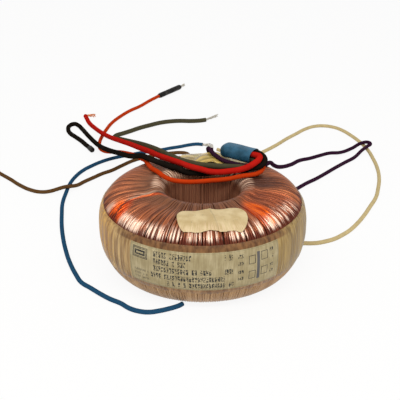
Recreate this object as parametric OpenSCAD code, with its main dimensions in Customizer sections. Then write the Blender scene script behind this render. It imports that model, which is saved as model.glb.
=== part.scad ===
// Toroidal mains transformer: a ring of steel strip carries two primary and two secondary
// windings, a side band, a paper label and eight flexible leads. Millimetres, +Z up.
// The origin is on the axis at the level of the flat underside, and the label faces -Y.

/* [Finished winding] */
// Outside diameter of the finished winding
body_od = 95; // [88:1:104]
// Height of the finished winding
body_h = 40; // [36:1:46]
// Diameter of the centre hole
hole_d = 33; // [28:1:35]
// Height of the widest place above the underside
widest_z = 20.2; // [16:0.2:23]
// Width of the rounded rim that leads into the hole
rim_w = 5.5; // [4:0.5:6]
// Depth of that rounded rim at the top
rim_drop = 7; // [5:0.5:9]
// Depth of the rounded rim at the underside
foot_drop = 5; // [4:0.5:7]
// Width of the slope from the crest beside the hole down to the crown
crest_w = 5.1; // [3:0.1:7]
// Height of that crest above the crown
crest_rise = 1; // [0:0.25:2]
// Width of the rounded lower corner outside the flat underside
corner_w = 12.1; // [9:0.1:14]
// Squareness of the upper shoulder, where 2 is an ellipse
shoulder_power = 3; // [2:0.25:4]

/* [Layers, measured at the outside] */
// Tape on the core
core_tape_t = 0.7; // [0.4:0.1:1.2]
// Each of the two primary windings
primary_t = 1.2; // [0.8:0.1:1.6]
// Tape between the primaries and the secondaries
inter_tape_t = 0.6; // [0.4:0.1:1]
// Secondary winding that lies underneath
inner_turn_t = 1.3; // [0.9:0.1:1.8]
// Secondary winding whose turns show
outer_turn_t = 1.5; // [1:0.1:2]
// Times that the layers grow on the top and the underside
face_pile = 1.08; // [1:0.02:1.2]
// Times that the layers grow in the hole, where the turns crowd together
hole_pile = 1.3; // [1:0.05:1.5]
// Gap between the visible turns and what they lie on
turn_gap = 0.05; // [0.02:0.01:0.1]

/* [Visible turns] */
// Number of ridges round the outside
turn_count = 100; // [60:2:104]
// Depth of the groove between two ridges at the outside
groove_depth = 0.45; // [0.2:0.05:0.8]

/* [Core] */
// Corner radius of the taped strip core
core_edge_r = 1.5; // [0.5:0.25:2.5]

/* [Side band and label] */
// Lower edge of the tape band round the side
band_z0 = 9.5; // [7:0.5:11]
// Upper edge of the tape band
band_z1 = 32.4; // [30.5:0.5:34]
// Thickness of the tape band
band_t = 0.25; // [0.1:0.05:0.5]
// Lower edge of the rating label
label_z0 = 11.9; // [11.2:0.1:14]
// Upper edge of the rating label
label_z1 = 29.9; // [27:0.1:30.4]
// Angle that the label covers
label_angle = 82.5; // [60:2.5:100]
// Angle from the left edge of the label to the front
label_left = 40; // [30:1:50]
// Thickness of a paper label
label_t = 0.15; // [0.1:0.05:0.3]

/* [Sticker on the shoulder] */
// Width of the sticker
sticker_w = 29; // [20:1:34]
// Depth of the sticker from front to back
sticker_l = 15; // [10:1:17]
// Corner radius of the sticker
sticker_r = 2; // [0.5:0.5:4]
// Angle of the sticker's middle, right of the front
sticker_angle = 5; // [0:1:20]
// Distance of the sticker's middle from the axis
sticker_at = 33; // [31:0.5:34]

/* [Lead exit] */
// Diameter of the thin primary leads
thin_d = 2.1; // [1.8:0.1:2.1]
// Diameter of the thick secondary leads
thick_d = 2.8; // [2.4:0.1:2.8]
// Diameter of the orange secondary lead
orange_d = 2.2; // [1.8:0.1:2.2]
// Length of the flattened sleeve over the secondary ends
sleeve_l = 17.8; // [16:0.2:23]
// Wall of that sleeve
sleeve_wall = 0.4; // [0.3:0.1:0.6]
// Width inside the sleeve
sleeve_w = 8.4; // [6:0.2:9]
// Depth of the open mouth
mouth_l = 2.5; // [2:0.25:4]
// Radius of the rounded closed end seen from above
sleeve_nose = 5; // [4.7:0.1:8]
// Thickness of the tape over the winding ends
exit_tape_t = 0.5; // [0.3:0.1:1]
// Width of the tape over the winding ends
exit_tape_w = 32; // [24:1:36]
// Depth of that tape, away from the hole
exit_tape_l = 20; // [14:1:22]
// Radius of the lump that the tape makes over the joints
lump_r = 14; // [12:1:20]
// Height of the lump's flat top above the crest
lump_rise = 2.6; // [1.5:0.1:3]

/* [Lead ends] */
// Diameter of the bare twisted strands
strand_d = 1.5; // [1.2:0.1:1.8]
// Diameter of the heat-shrink on the orange end
shrink_d = 3.7; // [3:0.1:3.8]
// Length of that heat-shrink
shrink_l = 26; // [15:1:30]
// Diameter of the cap on the black end
cap_d = 3.4; // [3:0.1:3.4]
// Length of that cap
cap_l = 5; // [3:0.5:8]
// Diameter of the series splice of two primary ends
splice_d = 2.4; // [1.8:0.1:2.6]
// Length of that splice
splice_l = 6; // [4:0.5:9]
// Bare length at the red end
red_tip_l = 6; // [3:0.5:8]
// Bare length at the grey end
grey_tip_l = 12; // [5:0.5:14]
// Bare length at the blue, brown and orange ends
thin_tip_l = 5; // [3:0.5:7]

/* [Hidden] */

// Build-up of the layers from the core to the surface
build = core_tape_t + 2 * primary_t + inter_tape_t + inner_turn_t + outer_turn_t;
body_r = body_od / 2;
hole_r = hole_d / 2;
crest_r = hole_r + rim_w;
crown_r = crest_r + crest_w;
flat_r = body_r - corner_w;
core_r0 = hole_r + build * hole_pile;
core_r1 = body_r - build;
core_z0 = build * face_pile;
core_z1 = body_h - build * face_pile;

// Depth of each layer boundary as a share of the way from the surface to the core
at_outer = outer_turn_t / build;
at_inner = at_outer + inner_turn_t / build;
at_inter = at_inner + inter_tape_t / build;
at_primary_b = at_inter + primary_t / build;
at_primary_a = at_primary_b + primary_t / build;

// Steps of each stretch of the outline: rim, crest, shoulder, lower corner, foot
rim_n = 4;
crest_n = 2;
shoulder_n = 6;
corner_n = 4;
foot_n = 4;
turns_n = rim_n + crest_n + shoulder_n + corner_n;

// One quarter of a rounded corner about [r, z], between two angles
function arc(r, z, w, h, a0, a1, n, power = 2) = [
    for (i = [0:n]) let (a = a0 + (a1 - a0) * i / n, c = cos(a), s = sin(a))
        [r + w * sign(c) * pow(abs(c), 2 / power), z + h * sign(s) * pow(abs(s), 2 / power)]
];
function tail(list) = [for (i = [1:len(list) - 1]) list[i]];

// Finished outline from the hole over the top to the underside and back into the hole
finished = concat(
    arc(crest_r, body_h - rim_drop, rim_w, rim_drop, 180, 90, rim_n),
    [for (i = [1:crest_n]) [crest_r + crest_w * i / crest_n,
        body_h - crest_rise * (1 - cos(180 * i / crest_n)) / 2]],
    tail(arc(crown_r, widest_z, body_r - crown_r, body_h - crest_rise - widest_z,
        90, 0, shoulder_n, shoulder_power)),
    tail(arc(flat_r, widest_z, corner_w, widest_z, 0, -90, corner_n)),
    [[crest_r, 0]],
    tail(arc(crest_r, foot_drop, rim_w, foot_drop, 270, 180, foot_n))
);

// Outline of the core with the same number of points
core_outline = concat(
    arc(core_r0 + core_edge_r, core_z1 - core_edge_r, core_edge_r, core_edge_r,
        180, 90, rim_n),
    [for (i = [1:crest_n]) [core_r0 + core_edge_r + (core_r1 - core_r0) * 0.1 * i, core_z1]],
    tail(arc(core_r1 - core_edge_r, core_z1 - core_edge_r, core_edge_r, core_edge_r,
        90, 0, shoulder_n)),
    tail(arc(core_r1 - core_edge_r, core_z0 + core_edge_r, core_edge_r, core_edge_r,
        0, -90, corner_n)),
    [[core_r0 + core_edge_r, core_z0]],
    tail(arc(core_r0 + core_edge_r, core_z0 + core_edge_r, core_edge_r, core_edge_r,
        270, 180, foot_n))
);

// The outline at a share of the way from the surface (0) to the core (1)
function outline_at(share) = [
    for (i = [0:len(finished) - 1]) finished[i] + (core_outline[i] - finished[i]) * share
];
function lift(t) = -t / build;

module ring(outer, inner) {
    rotate_extrude($fn = 120) difference() {
        polygon(outline_at(outer));
        polygon(outline_at(inner));
    }
}

module core() {
    color("slategray") rotate_extrude($fn = 120) polygon(core_outline);
}

module core_insulation() {
    color("khaki") ring(at_primary_a, 1);
}

module primary_winding_a() {
    color("peru") ring(at_primary_b, at_primary_a);
}

module primary_winding_b() {
    color("peru") ring(at_inter, at_primary_b);
}

module interwinding_insulation() {
    color("gold") ring(at_inner, at_inter);
}

// The turns underneath. They come to the surface in the hole and on the underside, where
// both secondaries lie in one layer, so this piece has the bore and the resting face.
module secondary_winding_a() {
    under = outline_at(at_outer);
    color("sienna") rotate_extrude($fn = 120) difference() {
        polygon(concat(
            [for (i = [turns_n:len(finished) - 1]) finished[i]],
            [finished[0]],
            [for (i = [0:turns_n]) under[i]]
        ));
        polygon(outline_at(at_inner));
    }
}

// The visible turns: a ring whose radial ridges run from the hole over the crown and the
// shoulder to the lower corner, shallower where the turns crowd together. Its outside has
// two columns of points for each turn, one on the ridge and one in the groove, and its
// smooth inside has one.
module secondary_winding_b() {
    rows = turns_n + 1;
    columns = 2 * turn_count;
    top = outline_at(0);
    under = outline_at(at_outer - turn_gap / build);
    function groove(i) = top[i]
        + (core_outline[i] - top[i]) * groove_depth / build * top[i][0] / body_r;
    function place(p, a) = [p[0] * cos(a), p[0] * sin(a), p[1]];
    function out(j, i) = (j % columns) * rows + i;
    function in(j, i) = (columns + j % turn_count) * rows + i;
    points = concat(
        [for (j = [0:columns - 1], i = [0:rows - 1])
            place(j % 2 == 0 ? top[i] : groove(i), 360 * j / columns)],
        [for (j = [0:turn_count - 1], i = [0:rows - 1]) place(under[i], 360 * j / turn_count)]
    );
    outside = [for (j = [0:columns - 1], i = [0:rows - 2]) each [
        [out(j, i), out(j + 1, i), out(j + 1, i + 1)],
        [out(j, i), out(j + 1, i + 1), out(j, i + 1)]
    ]];
    inside = [for (j = [0:turn_count - 1], i = [0:rows - 2]) each [
        [in(j, i), in(j + 1, i + 1), in(j + 1, i)],
        [in(j, i), in(j, i + 1), in(j + 1, i + 1)]
    ]];
    ends = [for (j = [0:turn_count - 1]) let (k = 2 * j, e = rows - 1) each [
        [out(k, 0), in(j, 0), out(k + 1, 0)],
        [in(j, 0), in(j + 1, 0), out(k + 1, 0)],
        [in(j + 1, 0), out(k + 2, 0), out(k + 1, 0)],
        [out(k, e), out(k + 1, e), in(j, e)],
        [in(j, e), out(k + 1, e), in(j + 1, e)],
        [in(j + 1, e), out(k + 1, e), out(k + 2, e)]
    ]];
    color("chocolate") polyhedron(points, concat(outside, inside, ends), convexity = 6);
}

// Radius of the finished outline at a height on the outside
function side_r(z) = z >= widest_z
    ? crown_r + (body_r - crown_r) * pow(1 - pow((z - widest_z)
        / (body_h - crest_rise - widest_z), shoulder_power), 1 / shoulder_power)
    : flat_r + corner_w * sqrt(1 - pow((widest_z - z) / widest_z, 2));

// A skin of the side between two heights, from t0 to t1 outside the turns
module side_skin(z0, z1, t0, t1, angle = 360) {
    steps = 10;
    rotate_extrude(angle = angle, $fn = 180) polygon(concat(
        [for (i = [0:steps]) let (z = z0 + (z1 - z0) * i / steps) [side_r(z) + t0, z]],
        [for (i = [steps:-1:0]) let (z = z0 + (z1 - z0) * i / steps) [side_r(z) + t1, z]]
    ));
}

module side_band() {
    color("tan") side_skin(band_z0, band_z1, 0, band_t);
}

module rating_label() {
    color("wheat") rotate([0, 0, -90 - label_left])
        side_skin(label_z0, label_z1, band_t, band_t + label_t, label_angle);
}

// A skin of the top, t thick, inside the outline that its children give from above
module crown_skin(t) {
    intersection() {
        rotate_extrude($fn = 120) difference() {
            polygon(outline_at(lift(t)));
            polygon(outline_at(0));
        }
        translate([0, 0, widest_z]) linear_extrude(body_h) children();
    }
}

module rounded_box(w, l, r) {
    hull() for (x = [-1, 1], y = [-1, 1])
        translate([x * (w / 2 - r), y * (l / 2 - r)]) circle(r, $fn = 24);
}

module top_sticker() {
    color("ivory") crown_skin(label_t) rotate([0, 0, sticker_angle])
        translate([0, -sticker_at]) rounded_box(sticker_w, sticker_l, sticker_r);
}

// Places of the sleeve: the middle of its open mouth, its heading and its height,
// then of the tape over the winding ends and of the lump under it
mouth = [24.3, 17.4];
sleeve_heading = -33;
sleeve_h = 2 * thick_d + 2 * sleeve_wall;
sleeve_z = body_h + lump_rise + sleeve_h / 2;
tape_at = [5, body_r - 17.5];
lump_at = tape_at - [0, 3.5];

module lead_exit_tape() {
    color("darkkhaki") difference() {
        union() {
            crown_skin(exit_tape_t) translate(tape_at) rotate([0, 0, -8])
                rounded_box(exit_tape_w, exit_tape_l, 4);
            intersection() {
                translate([lump_at[0], lump_at[1], body_h + lump_rise + 0.4 - lump_r])
                    sphere(lump_r, $fn = 64);
                translate([0, 0, widest_z]) difference() {
                    cylinder(r = body_r, h = body_h + lump_rise - widest_z, $fn = 64);
                    cylinder(r = crest_r - 1, h = 3 * body_h, center = true, $fn = 64);
                }
            }
        }
        rotate_extrude($fn = 120) polygon(outline_at(0));
    }
}

// A bar with flat top and bottom and round sides, along X from the origin
module flat_bar(l, w, h) {
    sides = [for (s = [1, -1], a = [-90 : 15 : 90])
        s * [(w - h) / 2 + h / 2 * cos(a), h / 2 * sin(a)]];
    rotate([90, 0, 90]) linear_extrude(l) polygon(sides);
}

module lead_sleeve() {
    w = sleeve_w + 2 * sleeve_wall;
    nose = [for (a = [90 : 15 : 270]) sleeve_nose * [1 + cos(a), sin(a)]];
    color("steelblue") translate([mouth[0], mouth[1], sleeve_z])
        rotate([0, 0, sleeve_heading]) difference() {
            translate([-sleeve_l, 0, 0]) intersection() {
                flat_bar(sleeve_l, w, sleeve_h);
                linear_extrude(2 * sleeve_h, center = true)
                    polygon(concat(nose, [[sleeve_l + 1, -w], [sleeve_l + 1, w]]));
            }
            translate([-mouth_l, 0, 0])
                flat_bar(mouth_l + 1, sleeve_w, sleeve_h - 2 * sleeve_wall);
        }
}

// Routes of the eight leads. Each starts where it leaves the transformer.
red_route = [
    [22.2, 16.9, 47.2], [23.5, 16.1, 47.2], [25, 14.2, 47.7], [26.4, 11.8, 48],
    [25.9, 9.5, 47.5], [23.6, 7.3, 46.5], [21, 6.5, 45.2], [17.4, 6.5, 43.8],
    [12.9, 7.2, 42.7], [8, 7.8, 41.9], [3.5, 9.5, 41.4], [-1, 12, 41.5], [-6, 14.2, 41.9],
    [-10.5, 18.4, 41.8], [-16, 25, 40.9], [-21.4, 32.2, 39.7], [-26.5, 47, 35.5],
    [-33.5, 68, 29], [-41, 93, 21], [-49, 116.5, 13.5], [-57, 137, 7.5], [-63.5, 152.5, 4],
    [-70, 167, 1.9], [-74.5, 176.5, 1.4], [-77.5, 185.5, 1.4], [-79, 190.5, 1.4]
];
black_route = [
    [23.7, 19.5, 47.2], [25.1, 18.7, 47.2], [27.2, 16.7, 47], [28.8, 13.9, 46.2],
    [28.4, 10.9, 45.2], [26.1, 8.9, 44.4], [23.1, 8.9, 43.5], [19.9, 9.8, 42.4],
    [14.8, 10.7, 41.5], [10, 11.3, 40.8], [5.5, 12.3, 39.8], [1, 13.8, 38.6],
    [-3.5, 15, 38.3], [-8, 14.8, 38.8], [-11.5, 14.5, 40.7], [-15.5, 15, 41.6],
    [-20.5, 17.8, 42.4], [-25.5, 21, 43], [-28.8, 27, 41.7], [-31.7, 36, 38], [-38, 57, 29],
    [-45.5, 79.5, 21], [-53.5, 101.5, 13.5], [-62, 125, 6.5], [-67.5, 141, 3],
    [-73, 155, 1.4], [-78.5, 167, 1.4], [-82, 173.5, 1.4], [-84.5, 175.5, 1.4],
    [-87, 172.5, 1.4], [-87.2, 166, 1.4], [-85, 159, 1.4], [-81, 153, 1.4],
    [-76.5, 146.5, 1.4], [-72.5, 139.5, 1.4], [-69.5, 134, 1.7]
];
grey_route = [
    [22.2, 16.9, 44.4], [23.5, 16.1, 44.4], [24.6, 14.3, 44], [24.7, 12.6, 43.2],
    [23, 12.3, 42.4], [20.2, 13, 41.8], [17.9, 13.7, 41.8], [12.5, 14.8, 41.5],
    [6, 15.8, 41.4], [-1.5, 17.5, 41.4], [-6, 19.5, 41.5], [-10.5, 22.8, 41.4],
    [-14, 28, 40.7], [-17.5, 34.5, 39.5], [-22, 47.5, 36], [-28, 67, 30], [-35, 92, 21.5],
    [-43, 115.5, 13.5], [-49.5, 134.5, 7], [-54.5, 146.5, 3.2], [-56, 151.5, 1.6],
    [-54.8, 155.5, 1.4], [-51, 158.8, 1.4], [-47, 162.5, 1.4], [-41, 168.5, 1.4],
    [-34.5, 173.5, 1.4], [-28, 178, 1.4], [-21.5, 180.5, 1.4], [-15, 181.5, 1.4],
    [-8.5, 181.2, 1.4], [-2, 182, 1.4], [2, 183.5, 1.4]
];
orange_route = [
    [23.7, 19.5, 44.4], [25.1, 18.7, 44.4], [27.1, 16.5, 44], [28.2, 13.5, 43.2],
    [27.7, 10.3, 42.2], [25.3, 7.3, 41.5], [22.2, 6, 41.3], [19.4, 5.4, 41.2],
    [16.6, 5.1, 40.8], [12.5, 4, 40.3], [8.5, 3, 40.2], [3.5, 2, 40.2], [-1, 1.5, 40],
    [-6, 1, 40], [-10.5, 1, 40.3], [-14, 1.5, 40.8], [-17.5, 4, 41.2], [-20.5, 9, 41.2],
    [-24, 15.5, 40.4], [-26.5, 23, 39.9], [-28.4, 31, 38], [-30, 39, 35], [-35.5, 62.5, 27],
    [-42.5, 83.5, 19.5], [-48.5, 100.5, 13], [-55, 116, 6.5], [-60, 126, 3],
    [-63.5, 135.5, 1.2], [-64.5, 144.5, 1.1], [-64, 154.5, 1.1], [-62.5, 166, 1.1],
    [-60, 178.5, 1.1], [-55.5, 190.5, 1.1], [-50, 201.5, 1.1], [-43.5, 211, 1.1],
    [-37.5, 221.5, 1.4], [-31.5, 230, 1.9]
];
blue_route = [
    [-8.6, -40.3, 1.05], [-9.9, -41.6, 1.05], [-12, -43, 1.05], [-15.2, -44.6, 1.05],
    [-18.8, -46, 1.05], [-22.5, -46.9, 1.05], [-26.5, -46.4, 1.05], [-31, -44.2, 1.05],
    [-35.5, -40, 1.05], [-40.5, -36.5, 1.05], [-45, -32.5, 1.05], [-50, -27.5, 1.05],
    [-54.5, -23, 1.05], [-58, -16, 1.05], [-62.5, -4.5, 1.05], [-66, 7, 1.05],
    [-69, 19, 1.05], [-71.5, 31.5, 1.05], [-73.5, 45, 1.05], [-75, 58, 1.05],
    [-75, 71, 1.05], [-74.5, 82.5, 1.05], [-72.5, 93, 1.05], [-69, 102, 1.05],
    [-65, 108, 1.05], [-61, 113, 1.05], [-55.5, 118, 1.05], [-50, 121.5, 1.05],
    [-44, 124.5, 1.05], [-38, 127.5, 1.05], [-32, 130, 1.05], [-26, 132, 1.05],
    [-20, 135, 1.05], [-14, 137.5, 1.05], [-8, 140.5, 1.05], [-3.5, 141.7, 1.05],
    [0, 141, 1.05]
];
violet_route = [
    [23.3, 34.2, 1.05], [26, 38.5, 1.05], [30, 45, 1.05], [38, 58, 1.05], [46, 69, 1.05],
    [53, 77.5, 1.05], [58.5, 84, 1.05], [64.5, 90, 1.05], [70.5, 97, 1.05],
    [77.5, 105.5, 1.05], [84.5, 113.5, 1.05], [91.5, 121.5, 1.05], [97, 129, 2.4],
    [101, 133.2, 3.4], [103.3, 136.6, 3.4], [102.3, 139.3, 3.4], [98, 137.9, 3.4],
    [91.5, 133.4, 1.8], [84, 127.5, 1.6], [76.5, 122, 3.4], [69, 111, 6.5],
    [61.5, 97.5, 10.5], [53.5, 81.5, 16], [46.5, 63, 21.5], [39.5, 46.5, 27.5],
    [35.2, 34.3, 33.7], [32.6, 27.8, 38], [29.8, 22, 39.5], [25.5, 17.4, 40.9],
    [22, 16, 41.4], [18, 17.2, 41.4], [13.5, 19.2, 41.6], [9.4, 20.7, 42.5],
    [5.8, 23.9, 43.8], [3.8, 29.5, 43.8], [2.9, 35, 42.4], [2.8, 45, 37.5], [3.5, 60, 30],
    [4.3, 80, 21.5], [5, 105, 10.5], [5.4, 125, 2.8], [5.5, 130, 1.6], [5.5, 133, 1.3]
];
white_route = [
    [40, 10.3, 1.05], [42.5, 11, 1.05], [46, 12.5, 1.05], [49, 14, 1.05],
    [52.5, 14, 1.05], [56.5, 14.5, 1.05], [60.5, 16, 1.05], [65, 18.5, 1.05],
    [69.5, 22.5, 1.05], [74, 27.5, 1.05], [79, 35, 1.05], [84, 44, 1.05],
    [89, 54.5, 1.05], [94, 65.5, 1.05], [97.5, 77.5, 1.05], [100.5, 91, 1.05],
    [102, 105, 1.05], [102, 120, 1.05], [101, 134, 1.05], [98, 147, 1.05],
    [94, 158, 1.05], [90, 166, 1.05], [85.5, 171, 1.05], [79.5, 173.5, 1.05],
    [73, 172.5, 1.05], [66.5, 167.5, 1.05], [60, 159.5, 1.05], [52.5, 150, 1.05],
    [47, 142, 1.05], [42, 135.5, 1.05], [37, 129.5, 1.05], [31.5, 123.5, 1.05],
    [26, 119.5, 1.05], [21.5, 121.5, 1.05], [16.5, 126, 1.05], [12, 130.5, 1.05],
    [9, 132.8, 1.2]
];
brown_route = [
    [-9, 40.3, 1.05], [-9, 44, 1.05], [-9, 48, 1.05], [-8.5, 60, 1.05], [-8, 75, 1.05],
    [-7.5, 90, 1.05], [-7.5, 105, 1.05], [-7.5, 119, 1.05], [-8, 123, 1.05],
    [-10, 127, 1.05], [-13, 128, 1.05], [-18, 127.5, 1.05], [-23, 126, 1.05],
    [-28, 124, 1.05], [-34, 121, 1.05], [-41, 116, 1.05], [-48, 107.5, 1.05],
    [-53, 101, 1.05], [-57.5, 97, 1.05], [-62, 91.5, 1.05], [-66.5, 86, 1.05],
    [-70, 79.5, 1.7], [-73, 75.5, 2.9], [-76, 73.5, 3.4], [-79.5, 72.5, 2.7],
    [-84, 72, 1.5], [-89, 72, 1.05], [-95, 74.5, 1.05], [-102, 80.5, 1.05],
    [-109, 88.5, 1.05], [-117, 97, 1.05], [-123, 104, 1.05]
];

// A round flexible lead: rings of flats about the route, square to its heading
module lead(route, d, flats = 8) {
    n = len(route);
    function unit(v) = v / norm(v);
    points = [
        for (i = [0:n - 1])
            let (t = unit(route[min(i + 1, n - 1)] - route[max(i - 1, 0)]),
                u = unit(cross(t, [0, 0, 1])), v = cross(u, t))
            for (k = [0:flats - 1])
                route[i] + d / 2 * (u * cos(360 * (k + 0.5) / flats)
                    + v * sin(360 * (k + 0.5) / flats)) / cos(180 / flats)
    ];
    polyhedron(points, concat(
        [[for (k = [flats - 1:-1:0]) k]],
        [[for (k = [0:flats - 1]) (n - 1) * flats + k]],
        [for (i = [0:n - 2], k = [0:flats - 1])
            let (m = (k + 1) % flats, a = i * flats)
            each [[a + k, a + flats + m, a + flats + k], [a + k, a + m, a + flats + m]]]
    ), convexity = 8);
}

module lead_red() { color("firebrick") lead(red_route, thick_d); }
module lead_black() { color("black") lead(black_route, thick_d); }
module lead_grey() { color("darkolivegreen") lead(grey_route, thick_d); }
module lead_orange() { color("orangered") lead(orange_route, orange_d); }
module lead_blue() { color("steelblue") lead(blue_route, thin_d); }
module lead_violet() { color("indigo") lead(violet_route, thin_d); }
module lead_white() { color("antiquewhite") lead(white_route, thin_d); }
module lead_brown() { color("saddlebrown") lead(brown_route, thin_d); }

// A straight round piece that carries on from the end of a lead, from a distance past it
module end_piece(route, d, l, past = 0, turn = 0) {
    end = route[len(route) - 1];
    before = route[len(route) - 2];
    heading = atan2(end[1] - before[1], end[0] - before[0]) + turn;
    translate(end) rotate([0, 90, heading]) translate([0, 0, past])
        cylinder(d = d, h = l, $fn = 24);
}

module red_tip() { color("peru") end_piece(red_route, strand_d, red_tip_l, 0, -45); }
module grey_tip() { color("silver") end_piece(grey_route, strand_d, grey_tip_l, 0, 25); }
module black_end_cap() { color("dimgray") end_piece(black_route, cap_d, cap_l); }
module blue_tip() { color("silver") end_piece(blue_route, strand_d, thin_tip_l); }
module brown_tip() { color("silver") end_piece(brown_route, strand_d, thin_tip_l); }
module orange_end_sleeve() { color("dimgray") end_piece(orange_route, shrink_d, shrink_l); }
module orange_tip() { color("silver") end_piece(orange_route, strand_d, thin_tip_l, shrink_l); }
module series_splice() { color("silver") end_piece(violet_route, splice_d, splice_l); }

core();
core_insulation();
primary_winding_a();
primary_winding_b();
interwinding_insulation();
secondary_winding_a();
secondary_winding_b();
side_band();
rating_label();
top_sticker();
lead_exit_tape();
lead_sleeve();
lead_red();
lead_black();
lead_grey();
lead_orange();
lead_blue();
lead_violet();
lead_white();
lead_brown();
red_tip();
grey_tip();
black_end_cap();
orange_end_sleeve();
orange_tip();
blue_tip();
brown_tip();
series_splice();
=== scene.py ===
import math

import bpy
import numpy as np
from mathutils import Matrix, Vector


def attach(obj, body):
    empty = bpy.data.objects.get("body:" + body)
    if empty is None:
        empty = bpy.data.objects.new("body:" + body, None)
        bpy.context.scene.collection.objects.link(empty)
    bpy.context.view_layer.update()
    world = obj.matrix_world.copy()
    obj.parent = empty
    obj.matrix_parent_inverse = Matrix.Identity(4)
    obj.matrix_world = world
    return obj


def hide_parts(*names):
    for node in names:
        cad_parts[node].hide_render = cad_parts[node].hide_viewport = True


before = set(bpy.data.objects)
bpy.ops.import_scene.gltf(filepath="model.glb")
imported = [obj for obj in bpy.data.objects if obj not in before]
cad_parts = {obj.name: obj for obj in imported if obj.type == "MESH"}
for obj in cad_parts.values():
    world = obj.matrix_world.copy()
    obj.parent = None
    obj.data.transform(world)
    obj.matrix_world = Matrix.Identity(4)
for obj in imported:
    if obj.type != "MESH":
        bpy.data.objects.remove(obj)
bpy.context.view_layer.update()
scene = bpy.context.scene
scene.view_settings.view_transform = "Standard"

# ---------------------------------------------------------------- camera
# The view looks down on the ring from the front, so that the label on its side and the
# open hole in its crown both show, with the leads trailing away behind it.
camera_data = bpy.data.cameras.new("camera")
camera_data.lens = 77.4
camera_data.sensor_width = 36.0
camera_data.clip_start = 0.01
camera = bpy.data.objects.new("camera", camera_data)
camera.location = (0.0, -0.3551, 0.2043)
camera.rotation_euler = (math.radians(64.03), 0.0, math.radians(0.193))
scene.collection.objects.link(camera)
scene.camera = camera


# ---------------------------------------------------------------- the eight leads
# Each lead is stranded wire in a soft vinyl jacket: four thin ones belong to the primaries
# and leave under the ring, four thicker ones to the secondaries and leave the sleeve on its
# top. They are cut to length and lie loose on the bench behind and around the ring.
class Term:
    """A socket in a node tree. Arithmetic on it adds nodes, and make() adds any other."""

    def __init__(self, tree, socket):
        self.tree, self.socket = tree, socket

    def make(self, kind, settings=None, inputs=None, output=0):
        """Adds a node: its settings first, ramp stops among them, then its inputs."""
        node = self.tree.nodes.new(kind)
        for name, value in (settings or {}).items():
            if name == "stops":
                elements = node.color_ramp.elements
                while len(elements) < len(value):
                    elements.new(1.0)
                for element, (position, colour) in zip(elements, value):
                    element.position, element.color = position, colour
            else:
                setattr(node, name, value)
        for key, value in (inputs or {}).items():
            if isinstance(value, Term):
                self.tree.links.new(value.socket, node.inputs[key])
            else:
                node.inputs[key].default_value = value
        return Term(self.tree, node.outputs[output])

    def math(self, operation, *others):
        inputs = dict(enumerate((self, *others)))
        return self.make("ShaderNodeMath", {"operation": operation}, inputs)

    def __add__(self, other):
        return self.math("ADD", other)

    def __sub__(self, other):
        return self.math("SUBTRACT", other)

    def __rsub__(self, other):
        return self.make("ShaderNodeMath", {"operation": "SUBTRACT"}, {0: other, 1: self})

    def __mul__(self, other):
        return self.math("MULTIPLY", other)

    def __truediv__(self, other):
        return self.math("DIVIDE", other)

    __radd__, __rmul__ = __add__, __mul__

    def rise(self, low, high):
        """0 below low and 1 above high, with a smooth step between."""
        return self.make(
            "ShaderNodeMapRange",
            {"interpolation_type": "SMOOTHSTEP"},
            {"Value": self, "From Min": low, "From Max": high},
        )

    def fall(self, low, high):
        """1 below low and 0 above high."""
        return 1.0 - self.rise(low, high)

    def band(self, start, full, fade, end):
        """1 between full and fade, and 0 before start and after end."""
        return self.rise(start, full) * self.fall(fade, end)

    def within(self, low, high):
        """1 between the two, with hard edges, and 0 elsewhere."""
        return self.math("GREATER_THAN", low) * self.math("LESS_THAN", high)

    def noise(self, scale, detail=2.0, output=0):
        """Noise from 0 to 1 over these coordinates, scale in patches to the metre."""
        return self.make(
            "ShaderNodeTexNoise", None, {"Vector": self, "Scale": scale, "Detail": detail}, output
        )

    def part(self, axis):
        return self.make("ShaderNodeSeparateXYZ", None, {0: self}, axis)

    def tint(self, low, high):
        """A colour between low, where this is 0, and high, where it is 1."""
        return self.make("ShaderNodeMix", {"data_type": "RGBA"}, {0: self, 6: low, 7: high}, 2)

    def bump(self, strength, distance):
        return self.make(
            "ShaderNodeBump", None, {"Height": self, "Strength": strength, "Distance": distance}
        )


class Finish:
    """A material: its shader's plain sockets are set here, and what varies is fed to it."""

    def __init__(self, name, **plain):
        self.material = bpy.data.materials.new(name)
        self.material.use_nodes = True
        tree = self.material.node_tree
        self.shader = tree.nodes["Principled BSDF"]
        for socket, value in plain.items():
            self.shader.inputs[socket.replace("_", " ")].default_value = value
        coordinates = tree.nodes.new("ShaderNodeTexCoord")
        self.place = Term(tree, coordinates.outputs["Object"])
        self.uv = Term(tree, coordinates.outputs["UV"])

    def feed(self, **terms):
        for socket, term in terms.items():
            target = self.shader.inputs[socket.replace("_", " ")]
            self.material.node_tree.links.new(term.socket, target)


def coated(colour, *coats):
    """A colour under coats, each a mask and the colour that it lays over those before."""
    for cover, over in coats:
        colour = cover.tint(colour, over)
    return colour


def shown(name, data, *materials):
    """An object at the origin with its materials."""
    made = bpy.data.objects.new(name, data)
    scene.collection.objects.link(made)
    for material in materials:
        data.materials.append(material)
    return made


def vinyl(name, colour):
    """Soft vinyl: matt, slightly mottled and a little dusty."""
    jacket = Finish(name, Specular_IOR_Level=0.0)
    mottle = jacket.place.noise(420.0, 3.0)
    dust = jacket.place.noise(90.0, 4.0).rise(0.55, 0.8)
    dark = [c * 0.8 for c in colour] + [1.0]
    light = [min(1.0, c * 1.15) for c in colour] + [1.0]
    jacket.feed(
        Base_Color=coated(mottle.tint(dark, light), (dust * 0.02, (0.55, 0.5, 0.42, 1.0))),
        Roughness=0.3 + 0.15 * dust,
        Normal=jacket.place.noise(700.0, 2.0).bump(0.2, 0.0002),
    )
    return jacket.material


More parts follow.
